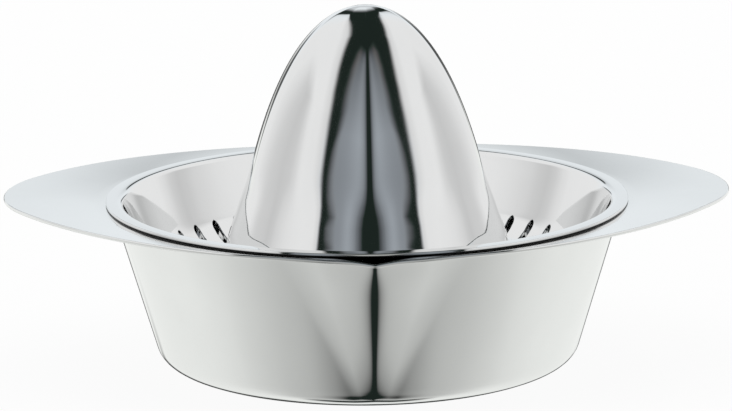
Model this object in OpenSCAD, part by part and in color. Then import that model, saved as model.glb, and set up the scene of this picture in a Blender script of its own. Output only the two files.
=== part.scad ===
// Citrus press of polished sheet steel: a spouted catching bowl with a winged rim,
// and a ridged reamer that stands in a slotted strainer dish and lifts out of the bowl.
// The origin is at the middle of the flat underside, the wings point along X
// and the spout points along -Y. Sizes are in millimetres, angles in degrees.

/* [Sheet] */
// Thickness of the pressed sheet of both pieces
sheet = 1; // [0.8:0.1:1.2]

/* [Bowl] */
// Diameter of the flat underside
base_d = 112; // [106:1:118]
// Outside radius of the edge between underside and wall
base_corner = 6; // [4:0.5:8]
// Lean of the wall from upright
wall_lean = 16.2; // [14:0.2:18]
// Height of the flat ring that the strainer rests on
seat_height = 46.4; // [44:0.2:52]
// Inside radius of the bend between wall and seat ring
mouth_bend = 1.8; // [1.4:0.1:2.4]

/* [Wings] */
// Reach of a wing tip past the seat ring
wing_reach = 28.5; // [24:0.5:34]
// Width of the winged rim in front of the seat ring and behind it
front_margin = 2.5; // [1.5:0.1:4]
// Plan radius of the wing tips
tip_radius = 45; // [36:1:55]
// Height that the wing tips gain over the seat ring
wing_rise = 2.6; // [1:0.2:6]

/* [Spout] */
// How far the spout pushes the top of the wall forward
spout_reach = 4.9; // [4:0.1:5.6]
// Half angle that the spout takes up at the top of the wall
spout_spread = 17; // [14:0.5:18]
// Half angle that the crease takes up at the foot of the wall
foot_spread = 4; // [3:0.5:6]
// Drop of the pouring lip below the seat ring
lip_drop = 0.9; // [0.4:0.1:1.6]
// Reach of the lip past the edge of the winged rim
lip_reach = 1.6; // [1:0.1:2.4]

/* [Strainer] */
// Gap all round between the dish and the wall of the bowl
dish_play = 1.2; // [0.6:0.1:1.8]
// Width of seat ring that the rim of the strainer covers
rim_lap = 1.3; // [1:0.1:1.6]
// Lean of the dish wall from upright
dish_lean = 20; // [18:1:24]
// Depth of the dish below the seat ring
dish_depth = 24; // [21:0.5:27]
// Radius of the curve between dish wall and floor
dish_curve = 14; // [10:0.5:15]
// Upper radius of the bend between rim and dish wall
rim_bend = 2; // [1.6:0.1:2.6]
// Number of drain slots
slot_count = 48; // [36:1:56]
// Width of a drain slot
slot_w = 2.2; // [1.6:0.1:2.8]
// Angle up the dish curve that the slots reach
slot_climb = 63; // [45:1:68]

/* [Reamer] */
// Height of the tip over the seat ring
reamer_height = 56.4; // [50:0.2:62]
// Diameter at the foot of the ridges
reamer_d = 74.6; // [68:0.2:76]
// Exponent of the outline: smaller is blunter
reamer_blunt = 0.51; // [0.44:0.01:0.56]
// Slimness of the outline between tip and foot: smaller is fuller
reamer_slim = 0.65; // [0.55:0.01:0.8]
// Number of ridges
ridge_count = 10; // [8:1:12]
// Sharpness of the ridges: 0 is round, 1 is flat faces between sharp edges
ridge_sharp = 0.55; // [0.3:0.05:0.8]
// Height over which the ridges fade into the round foot
ridge_fade = 16; // [10:1:24]
// Lean of the round foot from upright
skirt_lean = 20; // [16:1:24]
// Radius of the curve between foot and floor
skirt_curve = 9; // [6:0.5:10]

/* [Hidden] */
$fn = 120;
steel = [0.80, 0.81, 0.82];

// Overlaps, seams inside the sheet and steps of the curves
cut_margin = 1;
seam_step = 0.06;
seam_angle = 0.8;
seam_depth = 1;
arc_steps = 6;
wall_steps = 6;
flange_steps = 6;

// Points along an arc around a centre
function arc(centre, radius, from, to) = [
    for (i = [0:arc_steps]) let (a = from + (to - from) * i / arc_steps) centre + radius * [cos(a), sin(a)]
];
function reversed(list) = [for (i = [len(list) - 1:-1:0]) list[i]];
function smooth_step(x) = let (c = max(0, min(1, x))) c * c * (3 - 2 * c);

// Bowl section: the wall leans out from the base corner and bends over into the seat ring
base_r = base_d / 2;
corner_centre = [base_r, base_corner];
wall_foot_z = base_corner * (1 - sin(wall_lean));
function wall_outer_r(z) = base_r + base_corner * cos(wall_lean) + (z - wall_foot_z) * tan(wall_lean);
function wall_inner_r(z) = wall_outer_r(z) - sheet / cos(wall_lean);
mouth_z = seat_height - mouth_bend;
mouth_r = wall_inner_r(seat_height);
seat_inner_r = wall_inner_r(mouth_z) + mouth_bend / cos(wall_lean);
mouth_centre = [seat_inner_r, mouth_z];
rim_r = seat_inner_r + rim_lap;
seat_margin = 0.9;
seat_outer_r = rim_r + seat_margin;
wing_tip_r = seat_outer_r + wing_reach;
blank_r = wing_tip_r + cut_margin;
flange_half = seat_outer_r + front_margin;
// The long edges are arcs that meet the round tips almost smoothly, a hair inside them where they touch
tip_shift = wing_tip_r - tip_radius;
blend_r = tip_radius - seam_step;
wing_arc = (pow(tip_shift, 2) / (flange_half - blend_r) + flange_half + blend_r) / 2;
arc_shift = wing_arc - flange_half;
tip_root = tip_shift * wing_arc / (wing_arc - blend_r);

// The winged rim rises from the seat ring on a shallow curve that levels out at the tips
function rim_z(r) = let (u = (r - seat_outer_r) / (wing_tip_r - seat_outer_r))
    seat_height + wing_rise * (1 - pow(1 - max(0, u), 2));
// One face of the sheet from the base to the seat ring; offset is 0 on the outside and sheet on the inside
function cup_side(offset, steps) = let (
    corner = arc(corner_centre, base_corner - offset, -90, -wall_lean),
    bend = arc(mouth_centre, mouth_bend - sheet + offset, 180 - wall_lean, 90),
    wall = [for (i = [1:1:steps - 1]) corner[arc_steps] + (bend[0] - corner[arc_steps]) * i / steps]
) concat(corner, wall, bend);
function rim_side(offset) = [for (i = [0:flange_steps])
    let (r = seat_outer_r + (blank_r - seat_outer_r) * i / flange_steps) [r, rim_z(r) - sheet + offset]];
function bowl_side(offset) = concat([[0, offset]], cup_side(offset, 1), rim_side(offset));

// Spout: the front of the section is pushed forward into a crease and dips at the lip
crease_soft = 0.14;
crease_knee = 0.25;
spout_margin = 1;
spout_half = spout_spread * (1 + crease_knee) + spout_margin;
spout_steps = 14;
spout_grading = 1.5;
spout_foot_z = sheet;
// Straight flanks that meet in a rounded crease and bend softly into the round wall
function crest(u) = let (w = 1 - sqrt(u * u + crease_soft * crease_soft))
    (w > crease_knee ? w : pow(max(0, w + crease_knee), 2) / (4 * crease_knee)) / (1 - crease_soft);
function climb(z) = max(0, min(1, (z - spout_foot_z) / (seat_height - spout_foot_z)));
function spread(z) = foot_spread + (spout_spread - foot_spread) * climb(z);
function push(a, z) = spout_reach * climb(z) * crest(a / spread(z));
lip_share = 0.55;
lip_spread = lip_share * spout_spread;
lip_soft = 0.06;
lip_fade = 6;
function point(u) = let (v = sqrt(u * u + lip_soft * lip_soft)) v < 1 ? pow((1 - v) / (1 - lip_soft), 2) : 0;
function drop(a, z) = lip_drop * pow(climb(z), lip_fade) * point(a / lip_spread);

// Edge of the rim in front: the long arc, and the point of the lip that grows out of it
function arc_edge(a) = sqrt(wing_arc * wing_arc - pow(arc_shift * sin(a), 2)) - arc_shift * cos(a);
function front_edge(a) = arc_edge(a) + lip_reach * point(a / lip_spread);
ring_share = (seat_outer_r - seat_inner_r) / (arc_edge(spout_half) - seat_inner_r);

// The spout fills a notch in the round bowl; its borders are a hair thinner and run on inside the round sheet
notch_y = base_r * cos(spout_half + seam_angle) - 2 * seam_depth;
function inset_at(i) = abs(i) < spout_steps ? 0 : seam_step;
function spout_angle(i) = abs(i) > spout_steps
    ? sign(i) * (spout_half + seam_angle)
    : sign(i) * (spout_half - seam_angle) * pow(abs(i) / spout_steps, spout_grading);
// One face of the spout at a section; inset thins the sheet
function spout_side(a, inset, inside) = let (
    offset = inside ? sheet - inset : inset,
    ahead = push(a, seat_height),
    dip = drop(a, seat_height),
    inner = seat_inner_r + ahead,
    outer = max(front_edge(a), inner + sheet) - inset,
    border_z = inside ? sheet - seam_step : seam_step,
    border = [for (y = [notch_y - seam_depth, notch_y + seam_depth / 2]) [y / cos(a), border_z]],
    cup = [for (p = cup_side(offset, wall_steps)) [p[0] + push(a, p[1]), p[1] - drop(a, p[1])]],
    ring = inner + ring_share * (outer - inner),
    rim = [for (r = [ring, outer]) [r, rim_z(r - ahead) - sheet + offset - dip]]
) [for (p = concat(border, cup, rim)) [p[0] * sin(a), -p[0] * cos(a), p[1]]];

module spout() {
    rows = [-spout_steps - 1:spout_steps + 1];
    last = 2 * spout_steps + 2;
    n = len(spout_side(0, 0, false));
    points = [for (i = rows) for (inside = [false, true])
        for (p = spout_side(spout_angle(i), inset_at(i), inside)) p];
    function at(row, k) = row * 2 * n + k;
    function quad(a, b, c, d) = [[a, b, c], [a, c, d]];
    skins = [for (row = [0:last - 1]) for (k = [0:n - 2]) for (f = concat(
        quad(at(row, k), at(row, k + 1), at(row + 1, k + 1), at(row + 1, k)),
        quad(at(row, n + k), at(row + 1, n + k), at(row + 1, n + k + 1), at(row, n + k + 1))
    )) f];
    edges = [for (row = [0:last - 1]) for (f = concat(
        quad(at(row, 0), at(row + 1, 0), at(row + 1, n), at(row, n)),
        quad(at(row, n - 1), at(row, 2 * n - 1), at(row + 1, 2 * n - 1), at(row + 1, n - 1))
    )) f];
    ends = [for (k = [0:n - 2]) for (f = concat(
        quad(at(0, k), at(0, n + k), at(0, n + k + 1), at(0, k + 1)),
        quad(at(last, k), at(last, k + 1), at(last, n + k + 1), at(last, n + k))
    )) f];
    polyhedron(points, concat(skins, edges, ends));
}

// Plan of the winged rim: two long arcs and rounded tips
module rim_plan() {
    intersection() {
        translate([0, arc_shift]) circle(wing_arc);
        translate([0, -arc_shift]) circle(wing_arc);
        union() {
            square([2 * tip_root, 2 * wing_arc], center = true);
            translate([tip_shift, 0]) circle(tip_radius);
            translate([-tip_shift, 0]) circle(tip_radius);
        }
    }
}

// Plan of the notch at the front that the spout fills
module notch_plan() {
    near = notch_y * tan(spout_half);
    far = blank_r * tan(spout_half);
    polygon([[-near, -notch_y], [-far, -blank_r], [far, -blank_r], [near, -notch_y]]);
}

module round_bowl() {
    height = seat_height + wing_rise + 2 * cut_margin;
    difference() {
        intersection() {
            rotate_extrude() polygon(concat(bowl_side(0), reversed(bowl_side(sheet))));
            translate([0, 0, -cut_margin]) linear_extrude(height) rim_plan();
        }
        translate([0, 0, -cut_margin]) linear_extrude(height) notch_plan();
    }
}

module juice_bowl() {
    color(steel) {
        round_bowl();
        spout();
    }
}

// Strainer section: a flat rim, the dish wall, the floor and the round foot of the reamer
floor_z = seat_height - dish_depth;
foot_drop = 4;
foot_z = seat_height - foot_drop;
reamer_r = reamer_d / 2;
function dish_outer_r(z) = mouth_r - dish_play + (z - seat_height) * tan(dish_lean);
function dish_inner_r(z) = dish_outer_r(z) - sheet / cos(dish_lean);
function skirt_r(z) = reamer_r + (foot_z - z) * tan(skirt_lean);
rim_bend_z = seat_height + sheet - rim_bend;
rim_centre = [dish_inner_r(rim_bend_z) + rim_bend / cos(dish_lean), rim_bend_z];

// Both curves give way together where the floor is too narrow for them
floor_flat = 1;
floor_room = dish_inner_r(floor_z) - skirt_r(floor_z) - floor_flat;
curve_reach = dish_curve * tan(45 - dish_lean / 2) + skirt_curve * tan(45 - skirt_lean / 2);
curve_share = min(1, floor_room / curve_reach);
dish_arc = dish_curve * curve_share;
skirt_arc = skirt_curve * curve_share;
dish_centre = [dish_inner_r(floor_z + dish_arc) - dish_arc / cos(dish_lean), floor_z + dish_arc];
skirt_centre = [skirt_r(floor_z + skirt_arc) + skirt_arc / cos(skirt_lean), floor_z + skirt_arc];

// One face of the strainer, from the edge of the rim to the top of the foot; depth is 0 on the upper face
function dish_side(depth) = concat(
    [[rim_r, seat_height + sheet - depth]],
    arc(rim_centre, rim_bend - depth, 90, 180 - dish_lean),
    arc(dish_centre, dish_arc + depth, -dish_lean, -90),
    arc(skirt_centre, skirt_arc + depth, -90, skirt_lean - 180),
    [[reamer_r - depth / cos(skirt_lean), foot_z]]
);

module strainer_dish() {
    rotate_extrude() polygon(concat(dish_side(0), reversed(dish_side(sheet))));
}

// Drain slots with round ends, from the foot of the reamer up the curve of the dish
module slot_plan(from, to) {
    translate([from, -slot_w / 2]) square([to - from, slot_w]);
    translate([from, 0]) circle(d = slot_w);
    translate([to, 0]) circle(d = slot_w);
}

module drain_slots() {
    from = skirt_centre[0];
    to = dish_centre[0] + dish_arc * sin(slot_climb) - slot_w / 2;
    for (i = [0:slot_count - 1])
        rotate([0, 0, 360 * i / slot_count])
            translate([0, 0, floor_z - sheet - cut_margin])
                linear_extrude(dish_arc + sheet + cut_margin) slot_plan(from, to);
}

// Reamer: a blunt dome whose round section turns into soft ridges above the foot
tip_z = seat_height + reamer_height;
dome_h = tip_z - foot_z;
dome_rows = 16;
ridge_steps = 8;
turn_steps = ridge_count * ridge_steps;
ridge_drop = 2;
ridge_foot_z = seat_height - ridge_drop;
half_face = 180 / ridge_count;
mean_face = (1 + cos(half_face)) / 2;
// Radius of the dome at a depth below the tip, and the lean of its outline from upright
function slimmed(d) = d + reamer_slim * (dome_h - d);
function dome_r(d) = reamer_r * pow(d / slimmed(d), reamer_blunt);
function dome_lean(d) = atan(reamer_blunt * dome_r(d) * reamer_slim * dome_h / (d * slimmed(d)));
function ridge_share(z) = ridge_sharp * smooth_step((z - ridge_foot_z) / ridge_fade);
// Ratio of the ridged section to the round one, at an angle from a ridge
function ridge_ratio(a, z) = let (
    turn = a - 2 * half_face * floor(a / (2 * half_face)) - half_face,
    flat = cos(half_face) / cos(turn)
) 1 + ridge_share(z) * (flat / mean_face - 1);
// Radius and height of the dome at a row, on the outside (depth 0) or the inside (depth = sheet);
// the last two rows are a hair thinner than the round foot and tie the dome to it
function seam_row(z, depth) = [skirt_r(z) - (depth > 0 ? depth / cos(skirt_lean) - seam_step : seam_step), z];
function dome_row(i, depth) = let (d = dome_h * pow(i / dome_rows, 2), lean = dome_lean(d))
    i < dome_rows ? [dome_r(d) - depth * cos(lean), tip_z - d - depth * sin(lean)]
    : i == dome_rows ? seam_row(foot_z + seam_depth / 2, depth)
    : seam_row(foot_z - seam_depth, depth);
function dome_ring(i, depth) = let (p = dome_row(i, depth)) [
    for (k = [0:turn_steps - 1]) let (a = 360 * k / turn_steps, r = p[0] * ridge_ratio(a, p[1]))
        [r * sin(a), -r * cos(a), p[1]]
];

module reamer_dome() {
    outer = [for (i = [1:dome_rows + 1]) for (p = dome_ring(i, 0)) p];
    inner = [for (i = [1:dome_rows + 1]) for (p = dome_ring(i, sheet)) p];
    n = turn_steps;
    last = dome_rows;
    size = (last + 1) * n;
    top = 2 * size;
    function at(row, k) = row * n + k % n;
    function under(row, k) = size + at(row, k);
    function quad(a, b, c, d) = [[a, b, c], [a, c, d]];
    caps = [for (k = [0:n - 1]) for (f = [
        [top, at(0, k + 1), at(0, k)],
        [top + 1, under(0, k), under(0, k + 1)]
    ]) f];
    skins = [for (row = [0:last - 1]) for (k = [0:n - 1]) for (f = concat(
        quad(at(row, k), at(row, k + 1), at(row + 1, k + 1), at(row + 1, k)),
        quad(under(row, k), under(row + 1, k), under(row + 1, k + 1), under(row, k + 1))
    )) f];
    foot = [for (k = [0:n - 1])
        for (f = quad(at(last, k), at(last, k + 1), under(last, k + 1), under(last, k))) f];
    polyhedron(concat(outer, inner, [[0, 0, tip_z], [0, 0, tip_z - sheet]]), concat(caps, skins, foot));
}

module reamer_strainer() {
    color(steel) {
        difference() {
            strainer_dish();
            drain_slots();
        }
        reamer_dome();
    }
}

juice_bowl();
reamer_strainer();
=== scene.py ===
"""Dress the citrus press in polished steel and set it in a plain studio.

The press is a winged catching bowl with a creased spout, and a ridged reamer in a slotted strainer dish.
Sizes are in metres and angles in radians. Azimuths are counted from the front, where the spout points
along -Y; those of the studio's light are in degrees and have no sign.
"""

import logging
import math
from dataclasses import dataclass
from enum import Enum

import bmesh
import bpy
from mathutils import Matrix, Vector


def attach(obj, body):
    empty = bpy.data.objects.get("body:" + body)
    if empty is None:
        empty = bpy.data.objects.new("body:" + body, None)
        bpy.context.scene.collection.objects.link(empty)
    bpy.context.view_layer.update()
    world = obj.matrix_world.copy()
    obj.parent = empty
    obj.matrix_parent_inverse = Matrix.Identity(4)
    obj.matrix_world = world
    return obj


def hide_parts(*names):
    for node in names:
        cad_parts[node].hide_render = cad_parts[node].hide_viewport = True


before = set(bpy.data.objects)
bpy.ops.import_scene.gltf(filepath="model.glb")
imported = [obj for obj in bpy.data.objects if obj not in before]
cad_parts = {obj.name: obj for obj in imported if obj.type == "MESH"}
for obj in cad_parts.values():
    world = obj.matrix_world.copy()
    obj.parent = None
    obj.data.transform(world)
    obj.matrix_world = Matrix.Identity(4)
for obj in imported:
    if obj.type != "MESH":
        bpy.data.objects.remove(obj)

LOG = logging.getLogger("citrus_press")
Socket = bpy.types.NodeSocket
Point = tuple[float, float]
Place = tuple[float, float, float]
Colour = tuple[float, float, float]
Fade = tuple[float, float, float, float]

SLACK = 1e-6
HALF_TURN = 180.0
WHITE = (1.0, 1.0, 1.0, 1.0)


def arc(centre: Point, radius: float, start: float, end: float, steps: int) -> list[Point]:
    """Points along an arc of a section.

    Args:
        centre: Radius and height of the arc's centre.
        radius: Radius of the arc.
        start: Angle of the first point, from the outward direction.
        end: Angle of the last point.
        steps: Number of spans.

    Returns:
        The points from start to end, both included.
    """
    turns = [start + (end - start) * i / steps for i in range(steps + 1)]
    return [(centre[0] + radius * math.cos(t), centre[1] + radius * math.sin(t)) for t in turns]


def straight(start: Point, end: Point, steps: int) -> list[Point]:
    """Points between two points of a section.

    Args:
        start: First end, left out of the result.
        end: Second end, left out of the result.
        steps: Number of spans.

    Returns:
        The points between the two ends.
    """
    shares = [i / steps for i in range(1, steps)]
    return [(start[0] + (end[0] - start[0]) * s, start[1] + (end[1] - start[1]) * s) for s in shares]


def smooth_step(value: float) -> float:
    """Ease a share between 0 and 1, and hold it outside that."""
    share = max(0.0, min(1.0, value))
    return share * share * (3.0 - 2.0 * share)


class Graph:
    """A shader tree that is filled node by node."""

    def __init__(self, tree: bpy.types.NodeTree) -> None:
        """Start from an empty tree."""
        self.tree = tree
        self.tree.nodes.clear()

    def node(self, kind: str, **settings: object) -> bpy.types.Node:
        """Add a node.

        Args:
            kind: Blender's node type.
            settings: Properties of the node.

        Returns:
            The new node.
        """
        node = self.tree.nodes.new(kind)
        for name, value in settings.items():
            setattr(node, name, value)
        return node

    def feed(self, socket: Socket, value: object) -> None:
        """Link a socket to a socket, or set it to a value.

        Args:
            socket: Input that takes the value.
            value: Output socket, number, colour or vector.
        """
        if isinstance(value, Socket):
            self.tree.links.new(value, socket)
        else:
            socket.default_value = value

    def math(self, operation: str, *values: object) -> Socket:
        """Add a math node.

        Args:
            operation: Blender's name of the operation.
            values: Sockets or numbers for the inputs.

        Returns:
            The result's socket.
        """
        node = self.node("ShaderNodeMath", operation=operation)
        for socket, value in zip(node.inputs, values):
            self.feed(socket, value)
        return node.outputs[0]

    def product(self, *values: object) -> Socket:
        """Multiply values.

        Args:
            values: Sockets or numbers.

        Returns:
            The product's socket.
        """
        result, *others = values
        for other in others:
            result = self.math("MULTIPLY", result, other)
        return result

    def rest(self, share: object) -> Socket:
        """What a share leaves of 1."""
        return self.math("SUBTRACT", 1.0, share)

    def ease(self, value: object, low: float, high: float, start: float = 0.0, end: float = 1.0) -> Socket:
        """Map a value smoothly from one range to another.

        Args:
            value: Socket or number to map.
            low: Value that gives start.
            high: Value that gives end.
            start: Result at low and below.
            end: Result at high and above.

        Returns:
            The result's socket.
        """
        node = self.node("ShaderNodeMapRange", interpolation_type="SMOOTHSTEP")
        for socket, number in zip(node.inputs[:5], (value, low, high, start, end)):
            self.feed(socket, number)
        return node.outputs["Result"]

    def radius(self, place: Socket) -> Socket:
        """Distance of a place from the upright axis.

        Args:
            place: Coordinates of the place.

        Returns:
            The distance.
        """
        flat = self.node("ShaderNodeVectorMath", operation="MULTIPLY")
        self.feed(flat.inputs[0], place)
        self.feed(flat.inputs[1], (1.0, 1.0, 0.0))
        length = self.node("ShaderNodeVectorMath", operation="LENGTH")
        self.feed(length.inputs[0], flat.outputs["Vector"])
        return length.outputs["Value"]

    def axes(self, place: Socket) -> tuple[Socket, ...]:
        """Take a place or direction apart.

        Args:
            place: Coordinates of the place.

        Returns:
            Its parts along X, Y and Z.
        """
        node = self.node("ShaderNodeSeparateXYZ")
        self.feed(node.inputs["Vector"], place)
        return tuple(node.outputs)

    def noise(self, place: Socket, scale: float, detail: float) -> Socket:
        """Add a noise.

        Args:
            place: Coordinates that pick the value.
            scale: Size of the pattern; a larger number is finer.
            detail: Number of finer layers.

        Returns:
            The value's socket.
        """
        node = self.node("ShaderNodeTexNoise")
        for name, value in (("Vector", place), ("Scale", scale), ("Detail", detail)):
            self.feed(node.inputs[name], value)
        return node.outputs["Fac"]

    def blend(self, share: object, first: object, second: object) -> Socket:
        """Mix two colours.

        Args:
            share: 0 for the first colour and 1 for the second.
            first: Socket or colour.
            second: Socket or colour.

        Returns:
            The mixed colour's socket.
        """
        node = self.node("ShaderNodeMix", data_type="RGBA")
        for name, value in (("Factor", share), ("A", first), ("B", second)):
            self.feed(node.inputs[name], value)
        return node.outputs["Result"]

    def ramp(self, value: object, stops: list[tuple[float, Colour]]) -> Socket:
        """Add a colour ramp.

        Args:
            value: Socket that picks the colour.
            stops: Position and colour of each stop.

        Returns:
            The colour's socket.
        """
        node = self.node("ShaderNodeValToRGB")
        elements = node.color_ramp.elements
        while len(elements) < len(stops):
            elements.new(1.0)
        for element, (position, colour) in zip(elements, stops):
            element.position = position
            element.color = (*colour, 1.0)
        self.feed(node.inputs["Fac"], value)
        return node.outputs["Color"]

    def curve(self, value: object, stops: tuple[Point, ...], span: float = 1.0) -> Socket:
        """Add a curve through a list of points.

        Args:
            value: Socket that picks the place on the curve.
            stops: Place and result of each point.
            span: Place that the last point may have.

        Returns:
            The result's socket.
        """
        grey = self.node("ShaderNodeRGBToBW")
        share = self.math("DIVIDE", value, span)
        self.feed(grey.inputs["Color"], self.ramp(share, [(place / span, (v, v, v)) for place, v in stops]))
        return grey.outputs["Val"]


class Polish(Enum):
    """How far a steel face was polished, as its lowest and highest roughness."""

    MIRROR = (0.03, 0.055)
    BRIGHT = (0.045, 0.075)


@dataclass(frozen=True)
class SteelFinish:
    """Polished stainless steel with faint clouding and polishing marks that run round the axis.

    Past a given radius and below a given height, the sheet's cut edge is painted near black and made rougher.
    The near black is painted shade for the gap where the insert's rim rests on the bowl.
    """

    name: str
    tint: Colour
    clouded: Colour
    polish: Polish
    shade_from: float = 1.0
    shade_below: float = 0.0468
    shade_blur: float = 0.00002
    shade_fade: float = 0.0001
    # Near-black painted shade for the gap under the insert's rim.
    gap_shade_colour: Colour = (0.03, 0.03, 0.03)
    cut_rough: float = 0.3
    cloud_scale: float = 45.0
    cloud_detail: float = 5.0
    cloud_tones: Point = (0.3, 0.7)
    cloud_range: Point = (0.25, 0.75)
    mark_scale: float = 2600.0
    mark_detail: float = 2.0
    mark_stretch: float = 0.004
    mark_depth: float = 0.0000015
    mark_strength: float = 0.35

    def material(self) -> bpy.types.Material:
        """Make the material.

        Returns:
            A material that reads the piece's own coordinates.
        """
        material = bpy.data.materials.new(self.name)
        material.use_nodes = True
        graph = Graph(material.node_tree)
        place = graph.node("ShaderNodeTexCoord").outputs["Object"]
        cloud = graph.noise(place, self.cloud_scale, self.cloud_detail)
        steel = graph.ramp(cloud, list(zip(self.cloud_tones, (self.clouded, self.tint))))
        rough = graph.ease(cloud, *self.cloud_range, *self.polish.value)
        cut = self.shaded_cut_edge(graph, place)
        shader = graph.node("ShaderNodeBsdfPrincipled")
        graph.feed(shader.inputs["Metallic"], 1.0)
        # Painted shade: the cut edge is blended to near black, standing for the shadow in the gap under the
        # insert's rim.
        graph.feed(shader.inputs["Base Color"], graph.blend(cut, steel, (*self.gap_shade_colour, 1.0)))
        graph.feed(shader.inputs["Roughness"], graph.math("ADD", rough, graph.product(cut, self.cut_rough)))
        graph.feed(shader.inputs["Normal"], self.polishing_marks(graph, place))
        output = graph.node("ShaderNodeOutputMaterial")
        graph.feed(output.inputs["Surface"], shader.outputs["BSDF"])
        return material

    def shaded_cut_edge(self, graph: Graph, place: Socket) -> Socket:
        """Find the lower part of the sheet's cut edge, where the painted shade goes.

        Args:
            graph: Tree of the material.
            place: Coordinates on the piece.

        Returns:
            1 on the cut edge and 0 elsewhere.
        """
        height = graph.axes(place)[2]
        outside = graph.ease(graph.radius(place), self.shade_from - self.shade_blur, self.shade_from + self.shade_blur)
        low = graph.ease(height, self.shade_below - self.shade_fade, self.shade_below + self.shade_fade, 1.0, 0.0)
        return graph.product(outside, low)

    def polishing_marks(self, graph: Graph, place: Socket) -> Socket:
        """Add fine marks that run round the axis.

        Args:
            graph: Tree of the material.
            place: Coordinates on the piece.

        Returns:
            The bumped normal's socket.
        """
        x, y, z = graph.axes(place)
        turn = graph.product(graph.math("ARCTAN2", x, y), self.mark_stretch)
        rolled = graph.node("ShaderNodeCombineXYZ")
        for socket, value in zip(rolled.inputs, (graph.radius(place), turn, z)):
            graph.feed(socket, value)
        marks = graph.noise(rolled.outputs["Vector"], self.mark_scale, self.mark_detail)
        bump = graph.node("ShaderNodeBump")
        settings = (("Strength", self.mark_strength), ("Distance", self.mark_depth), ("Height", marks))
        for name, value in settings:
            graph.feed(bump.inputs[name], value)
        return bump.outputs["Normal"]


@dataclass
class SheetPiece:
    """A piece pressed from one steel sheet: a turned section that is drawn into its final shape."""

    name: str
    body: str
    node: str
    slot: str
    finish: SteelFinish
    sheet: float = 0.001
    edge_round: float = 0.00025
    edge_segments: int = 2
    edge_angle: float = math.radians(55.0)
    columns: int = 480
    merge_reach: float = 1e-7
    middle_radius: float = 0.02

    def section(self) -> list[Point]:
        """Radius and height of the points that are turned: one face of the sheet or both."""
        raise NotImplementedError

    def drawn(self, radius: float, azimuth: float, height: float) -> Place:
        """Radius, azimuth and height that a point of the turned sheet is drawn to."""
        raise NotImplementedError

    def cut(self, mesh: bmesh.types.BMesh) -> None:
        """Cut openings into the drawn sheet; a plain sheet has none."""

    def build(self) -> bpy.types.Object:
        """Turn, draw, cut and dress the sheet.

        Returns:
            The finished piece.
        """
        mesh = bmesh.new()
        self.turn(mesh)
        self.draw(mesh)
        self.cut(mesh)
        data = bpy.data.meshes.new(self.name)
        mesh.to_mesh(data)
        mesh.free()
        data.shade_smooth()
        piece = bpy.data.objects.new(self.name, data)
        bpy.context.scene.collection.objects.link(piece)
        self.finish_edges(piece)
        data.materials.append(self.finish.material())
        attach(piece, self.body)
        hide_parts(self.node)
        return piece

    def turn(self, mesh: bmesh.types.BMesh) -> None:
        """Spin the section round the axis, with the upper face turned up.

        Args:
            mesh: Empty mesh that takes the sheet.
        """
        points = [mesh.verts.new((0.0, -radius, height)) for radius, height in self.section()]
        spans = [mesh.edges.new(pair) for pair in zip(points, points[1:])]
        bmesh.ops.spin(mesh, geom=points + spans, cent=(0, 0, 0), axis=(0, 0, 1), angle=math.tau,
                       steps=self.columns, use_merge=True)
        bmesh.ops.remove_doubles(mesh, verts=mesh.verts[:], dist=self.merge_reach)
        bmesh.ops.recalc_face_normals(mesh, faces=mesh.faces[:])
        middle = [face for face in mesh.faces
                  if face.calc_center_median().xy.length < self.middle_radius]
        if max(middle, key=lambda face: face.calc_center_median().z).normal.z < 0.0:
            bmesh.ops.reverse_faces(mesh, faces=mesh.faces[:])

    def draw(self, mesh: bmesh.types.BMesh) -> None:
        """Move every point of the turned sheet to its place.

        Args:
            mesh: The turned sheet.
        """
        for point in mesh.verts:
            x, y, z = point.co
            radius, azimuth, height = self.drawn(math.hypot(x, y), math.atan2(x, -y), z)
            point.co = (radius * math.sin(azimuth), -radius * math.cos(azimuth), height)
        mesh.normal_update()

    def finish_edges(self, piece: bpy.types.Object) -> None:
        """Break the edges of the sheet.

        Args:
            piece: Object of the sheet.
        """
        broken = piece.modifiers.new("broken_edges", "BEVEL")
        broken.width = self.edge_round
        broken.segments = self.edge_segments
        broken.limit_method = "ANGLE"
        broken.angle_limit = self.edge_angle
        broken.harden_normals = True


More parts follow.
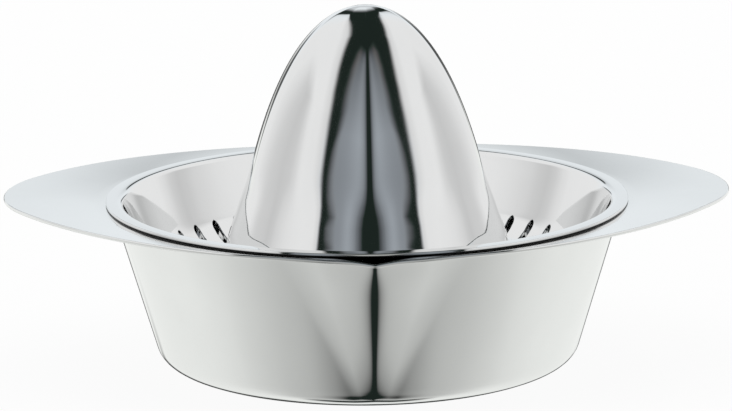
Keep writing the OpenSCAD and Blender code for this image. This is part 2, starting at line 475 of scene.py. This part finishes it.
@dataclass
class JuiceBowl(SheetPiece):
    """The catching bowl: flat base, leaning wall, creased spout, seat ring and winged rim."""

    base_radius: float = 0.056
    base_corner: float = 0.006
    wall_lean: float = math.radians(16.2)
    seat_height: float = 0.0464
    mouth_bend: float = 0.0018
    rim_lap: float = 0.0013
    seat_margin: float = 0.0009
    wing_reach: float = 0.02849
    front_margin: float = 0.002498
    tip_radius: float = 0.045
    wing_rise: float = 0.0026
    spout_reach: float = 0.0049
    spout_spread: float = math.radians(17.0)
    spout_margin: float = math.radians(1.0)
    foot_spread: float = math.radians(4.0)
    crease_soft: float = 0.165
    crease_low: float = 0.6
    crease_from: float = 0.2
    crease_over: float = 0.5
    crease_sharp: float = 0.03
    sharp_from: float = 0.75
    sharp_over: float = 0.25
    crease_knee: float = 0.25
    lip_drop: float = 0.0009
    lip_reach: float = 0.0016
    lip_spread: float = math.radians(9.35)
    lip_soft: float = 0.06
    lip_fade: float = 6.0
    front_crowding: float = 0.88
    edge_band: float = 0.00044
    band_share: float = 0.8
    base_rows: tuple[float, ...] = (0.0, 0.02, 0.04)
    bend_steps: int = 8
    wall_steps: int = 28
    seat_steps: int = 3
    wing_steps: int = 10

    def __post_init__(self) -> None:
        """Work out the sizes that follow from the others."""
        inner_foot = self.base_radius + (self.base_corner - self.sheet) * math.cos(self.wall_lean)
        inner_foot_z = self.base_corner - (self.base_corner - self.sheet) * math.sin(self.wall_lean)
        self.spout_foot = self.sheet
        self.mouth_z = self.seat_height - self.mouth_bend
        mouth = inner_foot + (self.mouth_z - inner_foot_z) * math.tan(self.wall_lean)
        self.seat_inner = mouth + self.mouth_bend / math.cos(self.wall_lean)
        self.rim_radius = self.seat_inner + self.rim_lap
        self.seat_outer = self.rim_radius + self.seat_margin
        self.wing_tip = self.seat_outer + self.wing_reach
        self.flange_half = self.seat_outer + self.front_margin
        tip = self.tip_radius
        self.wing_arc = ((self.wing_tip - tip) ** 2 / (self.flange_half - tip) + self.flange_half + tip) / 2.0
        self.arc_shift = self.wing_arc - self.flange_half
        self.tip_shift = self.wing_tip - tip
        self.tip_root = self.tip_shift * self.wing_arc / (self.wing_arc - tip)
        half = self.spout_spread * (1.0 + self.crease_knee) + self.spout_margin
        self.ring_share = (self.seat_outer - self.seat_inner) / (self.long_edge(half) - self.seat_inner)

    def section(self) -> list[Point]:
        """Radius and height of both faces, from the middle of the base to the edge of the rim and back."""
        return [*self.face(self.sheet), *reversed(self.face(0.0))]

    def face(self, offset: float) -> list[Point]:
        """Section of one face of the sheet.

        Args:
            offset: 0 for the lower face and the thickness of the sheet for the upper one.

        Returns:
            Points from the middle of the base to the edge of the rim.
        """
        corner = arc((self.base_radius, self.base_corner), self.base_corner - offset, -math.pi / 2.0,
                     -self.wall_lean, self.bend_steps)
        bend = arc((self.seat_inner, self.mouth_z), self.mouth_bend - self.sheet + offset,
                   math.pi - self.wall_lean, math.pi / 2.0, self.bend_steps)
        top = self.seat_height - self.sheet + offset
        seat = (self.seat_outer, top)
        edge = (self.wing_tip, top)
        band = (self.wing_tip - self.edge_band, top)
        base = [(radius, offset) for radius in self.base_rows]
        return [*base, *corner, *straight(corner[-1], bend[0], self.wall_steps), *bend,
                *straight(bend[-1], seat, self.seat_steps), seat,
                *straight(seat, band, self.wing_steps), band, edge]

    def drawn(self, radius: float, azimuth: float, height: float) -> Place:
        """Draw a point of the turned sheet into the spout or out to the edge of the wings.

        Args:
            radius: Distance from the axis.
            azimuth: Angle from the front.
            height: Height over the table.

        Returns:
            Radius, azimuth and height of the drawn point.
        """
        turn = azimuth - self.front_crowding * math.sin(azimuth)
        if radius <= self.seat_inner + SLACK:
            return radius + self.push(turn, height), turn, height - self.dip(turn, height)
        ahead = self.push(turn, self.seat_height)
        inner = self.seat_inner + ahead
        outer = max(self.edge(turn), inner + self.sheet)
        ring = min(self.seat_outer + ahead, inner + self.ring_share * (outer - inner))
        if radius <= self.seat_outer + SLACK:
            share = (radius - self.seat_inner) / (self.seat_outer - self.seat_inner)
            reach = inner + share * (ring - inner)
        elif radius < self.wing_tip - self.edge_band - SLACK:
            share = (radius - self.seat_outer) / (self.wing_tip - self.edge_band - self.seat_outer)
            reach = ring + share * (outer - min(self.edge_band, self.band_share * (outer - ring)) - ring)
        else:
            reach = outer - min(self.wing_tip - radius, self.band_share * (outer - ring))
        dip = self.dip(turn, self.seat_height)
        return reach, turn, self.rim_height(reach - ahead) - dip + height - self.seat_height

    def rim_height(self, radius: float) -> float:
        """Height of the winged rim, which rises from the seat ring and levels out at the tips."""
        share = max(0.0, (radius - self.seat_outer) / self.wing_reach)
        return self.seat_height + self.wing_rise * (1.0 - (1.0 - share) ** 2)

    def crest(self, share: float, soft: float) -> float:
        """Cross-section of the spout: straight flanks that meet in a rounded crease.

        Args:
            share: Angle from the crease as a share of the spout's half angle.
            soft: Roundness of the crease.

        Returns:
            1 at the crease, falling to 0 just past a share of 1.
        """
        knee = self.crease_knee
        rise = 1.0 - math.hypot(share, soft)
        bent = rise if rise > knee else max(0.0, rise + knee) ** 2 / (4.0 * knee)
        return bent / (1.0 - soft)

    def point(self, azimuth: float) -> float:
        """Share of the pouring lip at an azimuth: 1 at its point, falling to 0 beside it."""
        away = math.hypot(azimuth / self.lip_spread, self.lip_soft)
        return ((1.0 - away) / (1.0 - self.lip_soft)) ** 2 if away < 1.0 else 0.0

    def climb(self, height: float) -> float:
        """Share of the way from the foot of the spout to the seat ring."""
        return max(0.0, min(1.0, (height - self.spout_foot) / (self.seat_height - self.spout_foot)))

    def push(self, azimuth: float, height: float) -> float:
        """How far the spout pushes the wall forward."""
        climb = self.climb(height)
        spread = self.foot_spread + (self.spout_spread - self.foot_spread) * climb
        rounding = smooth_step((climb - self.crease_from) / self.crease_over)
        foot_soft = self.crease_soft * (self.crease_low + (1.0 - self.crease_low) * rounding)
        sharpening = smooth_step((climb - self.sharp_from) / self.sharp_over)
        soft = foot_soft + (self.crease_sharp - foot_soft) * sharpening
        return self.spout_reach * climb * self.crest(azimuth / spread, soft)

    def dip(self, azimuth: float, height: float) -> float:
        """How far the lip dips below the seat ring."""
        return self.lip_drop * self.climb(height) ** self.lip_fade * self.point(azimuth)

    def long_edge(self, azimuth: float) -> float:
        """Radius of the long edges of the wings at an azimuth."""
        across = self.arc_shift * math.sin(azimuth)
        return math.sqrt(self.wing_arc ** 2 - across ** 2) - self.arc_shift * abs(math.cos(azimuth))

    def edge(self, azimuth: float) -> float:
        """Radius of the edge of the winged rim at an azimuth.

        Args:
            azimuth: Angle from the front.

        Returns:
            Radius of the long edge, the tip or the lip, whichever the azimuth meets.
        """
        side = abs(math.sin(azimuth))
        long_edge = self.long_edge(azimuth)
        if long_edge * side > self.tip_root:
            across = math.cos(azimuth) * self.tip_shift
            return side * self.tip_shift + math.sqrt(self.tip_radius ** 2 - across ** 2)
        return long_edge + self.lip_reach * self.point(azimuth)


@dataclass
class ReamerStrainer(SheetPiece):
    """The insert: a flat rim, a dish with radial drain slots and a reamer with soft ridges."""

    seat_height: float = 0.0464
    rim_radius: float = 0.075596
    wall_at_seat: float = 0.071744
    dish_lean: float = math.radians(20.0)
    dish_depth: float = 0.024
    dish_curve: float = 0.014
    rim_bend: float = 0.002
    slot_count: int = 48
    slot_width: float = 0.0022
    slot_climb: float = math.radians(63.0)
    slot_tip: float = 0.00018
    slot_fade: float = 0.003
    slot_open: float = 0.9
    slot_steps: int = 9
    slot_end_turns: tuple[float, ...] = (0.0, 25.0, 45.0, 65.0)
    reamer_height: float = 0.0564
    reamer_radius: float = 0.0373
    reamer_blunt: float = 0.51
    reamer_slim: float = 0.65
    foot_drop: float = 0.004
    ridge_count: int = 10
    ridge_sharp: float = 0.75
    ridge_round: float = math.radians(3.8)
    broad_below: float = 0.047
    broad_fade: float = 0.010
    broad_share: float = 0.00425
    broad_peak: float = 0.25
    ridge_end: float = 0.027
    ridge_fade: float = 0.009
    skirt_lean: float = math.radians(20.0)
    skirt_curve: float = 0.009
    floor_flat: float = 0.001
    foot_swell: float = 0.001
    swell_top: float = 0.0092
    swell_top_fade: float = 0.0105
    swell_foot: float = 0.0065
    swell_foot_fade: float = 0.009
    edge_band: float = 0.0004
    dome_steps: int = 40
    skirt_steps: int = 6
    bend_steps: int = 7
    dish_curve_steps: int = 3
    dish_steps: int = 5
    rim_steps: int = 2

    def __post_init__(self) -> None:
        """Work out the sizes that follow from the others."""
        self.floor = self.seat_height - self.dish_depth
        self.foot = self.seat_height - self.foot_drop
        self.tip = self.seat_height + self.reamer_height
        room = self.dish_radius(self.floor) - self.skirt_radius(self.floor) - self.floor_flat
        reach = (self.dish_curve * math.tan(math.pi / 4.0 - self.dish_lean / 2.0)
                 + self.skirt_curve * math.tan(math.pi / 4.0 - self.skirt_lean / 2.0))
        share = min(1.0, room / reach)
        self.dish_arc = self.dish_curve * share
        self.skirt_arc = self.skirt_curve * share
        dish_z = self.floor + self.dish_arc
        skirt_z = self.floor + self.skirt_arc
        self.dish_centre = (self.dish_radius(dish_z) - self.dish_arc / math.cos(self.dish_lean), dish_z)
        self.skirt_centre = (self.skirt_radius(skirt_z) + self.skirt_arc / math.cos(self.skirt_lean), skirt_z)
        bend_z = self.seat_height + self.sheet - self.rim_bend
        self.rim_centre = (self.dish_radius(bend_z) + self.rim_bend / math.cos(self.dish_lean), bend_z)
        self.slot_from = self.skirt_centre[0]
        self.slot_to = self.dish_centre[0] + self.dish_arc * math.sin(self.slot_climb) - self.slot_width / 2.0

    def dish_radius(self, height: float) -> float:
        """Radius of the dish wall's upper face at a height."""
        outer = self.wall_at_seat + (height - self.seat_height) * math.tan(self.dish_lean)
        return outer - self.sheet / math.cos(self.dish_lean)

    def skirt_radius(self, height: float) -> float:
        """Radius of the reamer's round foot at a height."""
        return self.reamer_radius + (self.foot - height) * math.tan(self.skirt_lean)

    def section(self) -> list[Point]:
        """Radius and height of the upper face, from the tip of the reamer to the edge of the rim."""
        dome = [self.dome_point((i / self.dome_steps) ** 2) for i in range(self.dome_steps + 1)]
        start = self.slot_from - self.slot_width / 2.0
        end = self.slot_to + self.slot_width / 2.0
        meet = math.acos((self.skirt_centre[0] - start) / self.skirt_arc)
        skirt = arc(self.skirt_centre, self.skirt_arc, self.skirt_lean - math.pi, meet - math.pi,
                    self.bend_steps)
        climb = math.asin((end - self.dish_centre[0]) / self.dish_arc)
        dish = arc(self.dish_centre, self.dish_arc, climb - math.pi / 2.0, -self.dish_lean,
                   self.dish_curve_steps)
        bend = arc(self.rim_centre, self.rim_bend, math.pi - self.dish_lean, math.pi / 2.0, self.bend_steps)
        top = self.seat_height + self.sheet
        rim = [(self.rim_radius - self.edge_band, top), (self.rim_radius, top)]
        slots = [(radius, self.floor_height(radius)) for radius in self.slot_rows()]
        foot = straight(dome[-1], skirt[0], self.skirt_steps)
        reamer = [self.swelled(point) for point in (*dome, *foot, *skirt[:-1])]
        return [*reamer, *slots, *dish[1:], *straight(dish[-1], bend[0], self.dish_steps), *bend,
                *straight(bend[-1], rim[0], self.rim_steps), *rim]

    def swelled(self, point: Point) -> Point:
        """Widen the reamer a little where it turns into its foot."""
        radius, height = point
        upper = smooth_step((self.foot + self.swell_top - height) / self.swell_top_fade)
        lower = smooth_step((height - self.floor - self.swell_foot) / self.swell_foot_fade)
        return radius + self.foot_swell * upper * lower, height

    def dome_point(self, share: float) -> Point:
        """Radius and height of the reamer's outline at a share of the way down from its tip."""
        slimmed = share / (share + self.reamer_slim * (1.0 - share))
        return self.reamer_radius * slimmed ** self.reamer_blunt, self.tip - (self.tip - self.foot) * share

    def finish_edges(self, piece: bpy.types.Object) -> None:
        """Give the sheet its thickness, then break its edges.

        Args:
            piece: Object of the sheet.
        """
        wall = piece.modifiers.new("sheet", "SOLIDIFY")
        wall.thickness = self.sheet
        wall.offset = -1.0
        wall.use_even_offset = True
        super().finish_edges(piece)

    def slot_rows(self) -> list[float]:
        """Radii of the rows along a drain slot, closer together at its round ends."""
        half = self.slot_width / 2.0
        ends = [half * math.cos(math.radians(turn)) for turn in self.slot_end_turns]
        length = self.slot_to - self.slot_from
        middle = [self.slot_from + length * i / self.slot_steps for i in range(self.slot_steps + 1)]
        return [*(self.slot_from - e for e in ends), *middle, *(self.slot_to + e for e in reversed(ends))]

    def floor_height(self, radius: float) -> float:
        """Height of the dish's floor and lower curves at a radius."""
        curves = ((self.skirt_centre, self.skirt_arc, -1.0), (self.dish_centre, self.dish_arc, 1.0))
        for centre, curve, side in curves:
            away = (radius - centre[0]) * side
            if away > 0.0:
                return centre[1] - math.sqrt(curve ** 2 - away ** 2)
        return self.floor

    def slot_half(self, radius: float) -> float:
        """Half the width of a drain slot at a radius; a small value at its ends and 0 outside it."""
        half = self.slot_width / 2.0
        past = max(self.slot_from - radius, radius - self.slot_to, 0.0)
        if past > half + SLACK:
            return 0.0
        return max(self.slot_tip, math.sqrt(max(0.0, half ** 2 - past ** 2)))

    def drawn(self, radius: float, azimuth: float, height: float) -> Place:
        """Draw the ridges, and gather the columns of points along the sides of the slots.

        Args:
            radius: Distance from the axis.
            azimuth: Angle from the front.
            height: Height over the table.

        Returns:
            Radius, azimuth and height of the drawn point.
        """
        if height > self.ridge_end and radius < self.slot_from:
            return radius * self.ridge_ratio(azimuth, height), azimuth, height
        pitch = math.tau / self.slot_count
        column = math.tau / self.columns
        slot = round(azimuth / pitch) * pitch
        offset = (azimuth - slot) / column
        place = abs(offset)
        side = math.copysign(1.0, offset)
        half = self.slot_angle(radius, column)
        last = pitch / column / 2.0
        if place <= 1.0:
            turn = half * place
        else:
            turn = half + (place - 1.0) / (last - 1.0) * (pitch / 2.0 - half)
        return radius, slot + side * turn, height

    def slot_angle(self, radius: float, column: float) -> float:
        """Half the angle that a slot takes up, which fades to one column away from the slots.

        Args:
            radius: Distance from the axis.
            column: Angle between two columns of points.

        Returns:
            The angle of the first column beside the slot's middle.
        """
        half = self.slot_half(radius)
        if half > 0.0:
            return math.asin(half / radius)
        outer = self.slot_width / 2.0
        past = max(self.slot_from - radius, radius - self.slot_to) - outer
        tip = self.slot_tip / radius
        return tip + (column - tip) * smooth_step(past / self.slot_fade)

    def ridge_ratio(self, azimuth: float, height: float) -> float:
        """Ratio of the ridged section to the round one.

        Args:
            azimuth: Angle from the front, where one ridge runs.
            height: Height over the table.

        Returns:
            The factor on the radius.
        """
        face = math.pi / self.ridge_count
        away = face - abs(azimuth % (2.0 * face) - face)
        blunt = self.ridge_round
        turn = math.hypot(face, blunt) - math.hypot(away, blunt)
        flat = math.cos(face) / math.cos(turn) / ((1.0 + math.cos(face)) / 2.0)
        upper = smooth_step((height - self.broad_below) / self.broad_fade)
        around = self.ridge_count * azimuth
        wave = self.broad_share * (math.cos(around) - self.broad_peak * math.cos(2.0 * around))
        share = smooth_step((height - self.ridge_end) / self.ridge_fade)
        return 1.0 + share * (upper * self.ridge_sharp * (flat - 1.0) + (1.0 - upper) * wave)

    def cut(self, mesh: bmesh.types.BMesh) -> None:
        """Cut the drain slots out of the dish.

        Args:
            mesh: The drawn sheet.
        """
        pitch = math.tau / self.slot_count
        open_faces = []
        for face in mesh.faces:
            x, y, z = face.calc_center_median()
            radius = math.hypot(x, y)
            half = self.slot_half(radius)
            if z > self.foot or half == 0.0:
                continue
            turn = math.atan2(x, -y)
            if abs(turn - round(turn / pitch) * pitch) * radius < half * self.slot_open:
                open_faces.append(face)
        bmesh.ops.delete(mesh, geom=open_faces, context="FACES")


@dataclass
class Studio:
    """A plain pale floor, soft light all round with a dark side behind the camera, and the camera.

    The light is a function of direction. A curve lists places and the result at each. A fade holds two
    places and the result at each of the two.
    """

    floor_size: float = 6.0
    floor_shade: float = 0.9
    floor_glow: float = 0.93
    lamp_size: float = 2.4
    lamp_power: float = 20.0
    lamp_place: Place = (0.0, 0.5, 1.8)
    lens: float = 152.36
    sensor: float = 36.0
    near_limit: float = 0.01
    camera_place: Place = (-0.02254, -0.87868, 0.23740)
    camera_target: Place = (-0.0003, 0.0, 0.04398)
    camera_roll: float = math.radians(-0.58)
    room_turn: float = math.radians(-1.15)
    room_lean: float = 0.055
    lean_power: float = 7.0
    dark: float = 0.021
    horizon: Fade = (-0.06, 0.04, 0.0, 1.0)
    panel: tuple[Point, ...] = (
        (7.5, 0.0), (9, 0.045), (11, 0.09), (13, 0.15), (15, 0.19), (17, 0.26), (19, 0.295), (21, 0.335),
        (23, 0.36), (25, 0.385), (27, 0.39), (29, 0.375), (31, 0.35), (33, 0.32), (35, 0.30), (38, 0.29))
    panel_height: tuple[Point, ...] = (
        (0.0, 0.85), (0.2, 0.86), (0.33, 0.93), (0.45, 1.0), (0.57, 0.84), (0.71, 0.69), (0.79, 0.58),
        (0.84, 0.5), (0.883, 0.36), (0.92, 0.12), (0.945, 0.0))
    panel_edge: tuple[Point, ...] = (
        (-1.0, 0.66), (-0.765, 0.612), (-0.725, 0.575), (-0.705, 0.545), (-0.67, 0.518), (-0.62, 0.498),
        (-0.57, 0.474), (-0.515, 0.447), (-0.45, 0.421), (-0.38, 0.388), (-0.3, 0.355), (-0.235, 0.315),
        (0.0, 0.2), (0.3, 0.0))
    panel_blur: Fade = (-0.052, 0.022, 1.0, 0.0)
    sides: tuple[Point, ...] = (
        (40, 0.91), (62, 0.93), (72, 0.91), (80, 0.87), (88, 0.81), (94, 0.765), (99, 0.70), (105, 0.66),
        (110, 0.72), (115, 0.84), (121, 0.92), (145, 0.93), (180, 0.95))
    side_edge: tuple[Point, ...] = (
        (-1.0, 0.76), (-0.735, 0.628), (-0.72, 0.620), (-0.705, 0.611), (-0.69, 0.602), (-0.67, 0.592),
        (-0.645, 0.581), (-0.62, 0.569), (-0.588, 0.555), (-0.546, 0.540), (-0.495, 0.519), (-0.43, 0.496),
        (-0.346, 0.466), (-0.237, 0.428), (-0.075, 0.371), (-0.022, 0.350), (0.09, 0.318), (0.33, 0.250),
        (0.5, 0.21), (0.6, 0.2), (0.735, 0.22), (0.8, 0.26), (0.95, 0.28))
    side_step: Fade = (-0.014, 0.026, 0.0, 0.84)
    side_glow: Fade = (0.0, 0.1, 0.0, 0.16)
    back_widening: Fade = (0.22, 0.36, 0.0, -18.0)
    back_top: Fade = (0.56, 0.78, 1.0, 0.0)
    back_from: Fade = (150.0, 158.0, 0.0, 1.0)
    back_level: Fade = (0.17, 0.42, 0.90, 0.64)
    back_to_side: Fade = (165.0, 135.0, 0.0, 1.0)
    high_level: Fade = (0.33, 0.55, 0.6, 0.93)
    spot_outer: float = math.radians(16.0)
    spot_inner: float = math.radians(9.0)
    spot_left: float = 0.06
    strip_bottom: Fade = (-0.11, -0.07, 0.0, 1.0)
    strip_top: Fade = (0.06, 0.1, 1.0, 0.0)
    strip_from: Fade = (151.0, 160.0, 0.0, 0.92)
    strip_to: Fade = (167.0, 173.0, 1.0, 0.0)
    below: tuple[Point, ...] = (
        (8, 0.0), (10, 0.03), (13, 0.10), (16, 0.17), (20, 0.25), (24, 0.325), (28, 0.38), (32, 0.435),
        (36, 0.49), (40, 0.53), (45, 0.56), (55, 0.61), (65, 0.68), (75, 0.75), (85, 0.835), (95, 0.885),
        (105, 0.925), (118, 0.945), (130, 0.955))
    below_turn: Fade = (-0.98, -0.77, -18.0, 0.0)
    below_far: Fade = (-0.5, -0.3, 0.0, 0.42)
    under_from: Fade = (75.0, 100.0, 0.0, 1.0)
    under_top: Fade = (-0.985, -0.94, 1.0, 0.0)
    foot_from: Fade = (156.0, 166.0, 0.0, 0.95)
    foot_top: Fade = (-0.36, -0.31, 1.0, 0.0)
    foot_bottom: Fade = (-0.86, -0.78, 0.0, 1.0)
    plain: Colour = (0.917, 0.917, 0.917)
    bluish: Colour = (0.845, 0.917, 1.0)
    cool: Colour = (0.875, 0.917, 0.945)
    warm: Colour = (0.903, 0.917, 0.897)
    greenish: Colour = (0.62, 0.95, 0.8)
    tint_stops: tuple[float, ...] = (0.2, 0.24, 0.8, 0.88)
    dark_tint: Fade = (0.06, 0.0, 0.0, 1.0)

    def surroundings(self) -> None:
        """Make the light that comes from all round and shows in the steel."""
        world = bpy.data.worlds.new("studio_light")
        world.use_nodes = True
        bpy.context.scene.world = world
        graph = Graph(world.node_tree)
        turned = graph.node("ShaderNodeVectorRotate", rotation_type="Z_AXIS")
        graph.feed(turned.inputs["Vector"], graph.node("ShaderNodeTexCoord").outputs["Generated"])
        graph.feed(turned.inputs["Angle"], self.room_turn)
        x, y, z = graph.axes(turned.outputs["Vector"])
        steep = graph.math("POWER", graph.math("MAXIMUM", z, 0.0), self.lean_power)
        side = graph.math("ABSOLUTE", graph.math("SUBTRACT", x, graph.product(steep, self.room_lean)))
        turn = graph.math("ARCTAN2", side, graph.product(y, -1.0))
        azimuth = graph.product(turn, math.degrees(1.0))
        high = graph.ease(z, *self.horizon)
        above = graph.product(self.upper_light(graph, azimuth, side, y, z), high)
        below = graph.product(self.lower_light(graph, azimuth, z), graph.rest(high))
        lit = graph.product(graph.math("ADD", above, below), self.away_from_back(graph, azimuth, z))
        mirrored = graph.math("DIVIDE", graph.math("ADD", lit, self.dark), self.plain[1])
        seen = graph.node("ShaderNodeLightPath").outputs["Is Camera Ray"]
        light = graph.node("ShaderNodeBackground")
        graph.feed(light.inputs["Color"], self.tint(graph, azimuth, high, lit, seen))
        graph.feed(light.inputs["Strength"], graph.math("ADD", graph.product(mirrored, graph.rest(seen)), seen))
        graph.feed(graph.node("ShaderNodeOutputWorld").inputs["Surface"], light.outputs["Background"])

    def tint(self, graph: Graph, azimuth: Socket, high: Socket, lit: Socket, seen: Socket) -> Socket:
        """Colour the light: bluish in front and behind, warm from the table, greenish where it is dark.

        Args:
            graph: Tree of the world.
            azimuth: Angle from the front.
            high: 1 above the horizon and 0 below it.
            lit: Brightness of the direction.
            seen: 1 where the camera looks straight at it, which stays white.

        Returns:
            The colour's socket.
        """
        stops = list(zip(self.tint_stops, (self.bluish, self.plain, self.plain, self.cool)))
        upper = graph.ramp(graph.math("DIVIDE", azimuth, HALF_TURN), stops)
        colour = graph.blend(high, (*self.warm, 1.0), upper)
        colour = graph.blend(graph.ease(lit, *self.dark_tint), colour, (*self.greenish, 1.0))
        return graph.blend(seen, colour, WHITE)

    def away_from_back(self, graph: Graph, azimuth: Socket, z: Socket) -> Socket:
        """Leave dark parts behind the press, which outline the steel.

        One is a spot straight behind the press, and the other runs beside it along the far edge of the table.

        Args:
            graph: Tree of the world.
            azimuth: Angle from the front.
            z: Part of the direction upward.

        Returns:
            1 away from those parts, falling nearly to 0 in them.
        """
        near = graph.node("ShaderNodeVectorMath", operation="DOT_PRODUCT")
        graph.feed(near.inputs[0], graph.node("ShaderNodeTexCoord").outputs["Generated"])
        graph.feed(near.inputs[1], (Vector(self.camera_target) - Vector(self.camera_place)).normalized())
        spot = graph.ease(near.outputs["Value"], math.cos(self.spot_outer), math.cos(self.spot_inner),
                          1.0, self.spot_left)
        strip = graph.product(graph.ease(z, *self.strip_bottom), graph.ease(z, *self.strip_top),
                              graph.ease(azimuth, *self.strip_from), graph.ease(azimuth, *self.strip_to))
        return graph.product(spot, graph.rest(strip))

    def upper_light(self, graph: Graph, azimuth: Socket, side: Socket, y: Socket, z: Socket) -> Socket:
        """Add the grey panel in front, the white sides and the dark frame and ceiling between them.

        Args:
            graph: Tree of the world.
            azimuth: Angle from the front.
            side: Sideways part of the direction, without its sign.
            y: Part of the direction to the back.
            z: Part of the direction upward.

        Returns:
            Brightness of a direction above the horizon.
        """
        inside = self.past_edge(graph, side, y, self.panel_edge)
        panel = graph.product(graph.curve(azimuth, self.panel, HALF_TURN), graph.curve(z, self.panel_height),
                              graph.ease(inside, *self.panel_blur))
        past = self.past_edge(graph, side, y, self.side_edge)
        edge = graph.math("ADD", graph.ease(past, *self.side_step), graph.ease(past, *self.side_glow))
        back = graph.math("ADD", azimuth, graph.ease(z, *self.back_widening))
        behind = graph.product(graph.ease(z, *self.back_top), graph.ease(back, *self.back_from))
        rear = graph.math("ADD", graph.ease(z, *self.back_level), graph.ease(azimuth, *self.back_to_side))
        low = graph.math("MINIMUM", graph.curve(azimuth, self.sides, HALF_TURN), rear)
        level = graph.math("MAXIMUM", low, graph.ease(z, *self.high_level))
        walls = graph.product(graph.math("MAXIMUM", edge, behind), level)
        return graph.math("MAXIMUM", panel, walls)

    @staticmethod
    def past_edge(graph: Graph, side: Socket, y: Socket, stops: tuple[Point, ...]) -> Socket:
        """Tell how far a direction lies past an edge.

        Args:
            graph: Tree of the world.
            side: Sideways part of the direction, without its sign.
            y: Part of the direction to the back.
            stops: Points of the edge, each with its part to the back and its sideways part.

        Returns:
            The sideways distance, below 0 on the near side of the edge.
        """
        from_front = tuple((place + 1.0, value) for place, value in stops)
        return graph.math("SUBTRACT", side, graph.curve(graph.math("ADD", y, 1.0), from_front, 2.0))

    def lower_light(self, graph: Graph, azimuth: Socket, z: Socket) -> Socket:
        """Add what the table top shows the steel: dark in front, lighter towards the sides.

        Args:
            graph: Tree of the world.
            azimuth: Angle from the front.
            z: Part of the direction upward.

        Returns:
            Brightness of a direction below the horizon.
        """
        turn = graph.math("ADD", azimuth, graph.ease(z, *self.below_turn))
        level = graph.math("MAXIMUM", graph.curve(turn, self.below, HALF_TURN), graph.ease(z, *self.below_far))
        under = graph.product(graph.ease(azimuth, *self.under_from), graph.ease(z, *self.under_top))
        foot = graph.product(graph.ease(azimuth, *self.foot_from), graph.ease(z, *self.foot_top),
                             graph.ease(z, *self.foot_bottom))
        return graph.product(level, graph.rest(graph.math("MAXIMUM", under, foot)))

    def floor(self) -> None:
        """Lay the floor, which looks white to the camera and keeps the shadow of the press."""
        mesh = bmesh.new()
        bmesh.ops.create_grid(mesh, x_segments=1, y_segments=1, size=self.floor_size / 2.0)
        data = bpy.data.meshes.new("floor")
        mesh.to_mesh(data)
        mesh.free()
        floor = bpy.data.objects.new("floor", data)
        bpy.context.scene.collection.objects.link(floor)
        material = bpy.data.materials.new("pale_floor")
        material.use_nodes = True
        graph = Graph(material.node_tree)
        matt = graph.node("ShaderNodeBsdfDiffuse")
        graph.feed(matt.inputs["Color"], (self.floor_shade, self.floor_shade, self.floor_shade, 1.0))
        glow = graph.node("ShaderNodeEmission")
        paths = graph.node("ShaderNodeLightPath")
        share = graph.product(paths.outputs["Is Camera Ray"], self.floor_glow)
        mixed = graph.node("ShaderNodeMixShader")
        for socket, value in zip(mixed.inputs, (share, matt.outputs["BSDF"], glow.outputs["Emission"])):
            graph.feed(socket, value)
        graph.feed(graph.node("ShaderNodeOutputMaterial").inputs["Surface"], mixed.outputs["Shader"])
        data.materials.append(material)
        floor.visible_glossy = False

    def lamps(self) -> None:
        """Hang a wide soft lamp over the table for the floor; the steel doesn't mirror it."""
        light = bpy.data.lights.new("overhead", "AREA")
        light.shape = "DISK"
        light.size = self.lamp_size
        light.energy = self.lamp_power
        lamp = bpy.data.objects.new("overhead", light)
        lamp.location = self.lamp_place
        lamp.visible_glossy = False
        bpy.context.scene.collection.objects.link(lamp)

    def camera(self) -> None:
        """Set the camera at the photograph's place."""
        data = bpy.data.cameras.new("camera")
        data.sensor_fit = "HORIZONTAL"
        data.sensor_width = self.sensor
        data.lens = self.lens
        data.clip_start = self.near_limit
        camera = bpy.data.objects.new("camera", data)
        place = Vector(self.camera_place)
        aim = (Vector(self.camera_target) - place).to_track_quat("-Z", "Y").to_matrix()
        turn = aim @ Matrix.Rotation(self.camera_roll, 3, "Z")
        camera.matrix_world = Matrix.Translation(place) @ turn.to_4x4()
        bpy.context.scene.collection.objects.link(camera)
        bpy.context.scene.camera = camera

    def build(self) -> None:
        """Set up the whole studio."""
        self.camera()
        self.surroundings()
        self.floor()
        self.lamps()
        bpy.context.scene.view_settings.view_transform = "Standard"


def main() -> None:
    """Build the press and the studio, and report each piece."""
    logging.basicConfig(level=logging.INFO, format="%(message)s")
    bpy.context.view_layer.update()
    Studio().build()
    bowl_steel = SteelFinish("bowl_steel", (0.815, 0.82, 0.815), (0.785, 0.79, 0.785), Polish.BRIGHT)
    # The strainer's rim edge past this radius is painted near black as the shade of the gap where it rests on
    # the bowl.
    strainer_steel = SteelFinish("strainer_steel", (0.815, 0.82, 0.82), (0.79, 0.795, 0.795), Polish.MIRROR,
                                 shade_from=0.07545)
    press = (
        JuiceBowl("bowl_sheet", "bowl", "juice_bowl", "bowl_steel", bowl_steel,
                  edge_round=0.0004, edge_segments=4),
        ReamerStrainer("strainer_sheet", "strainer", "reamer_strainer", "strainer_steel", strainer_steel),
    )
    for part in press:
        piece = part.build()
        LOG.info("%s: %d faces", piece.name, len(piece.data.polygons))


if __name__ == "__main__":
    main()
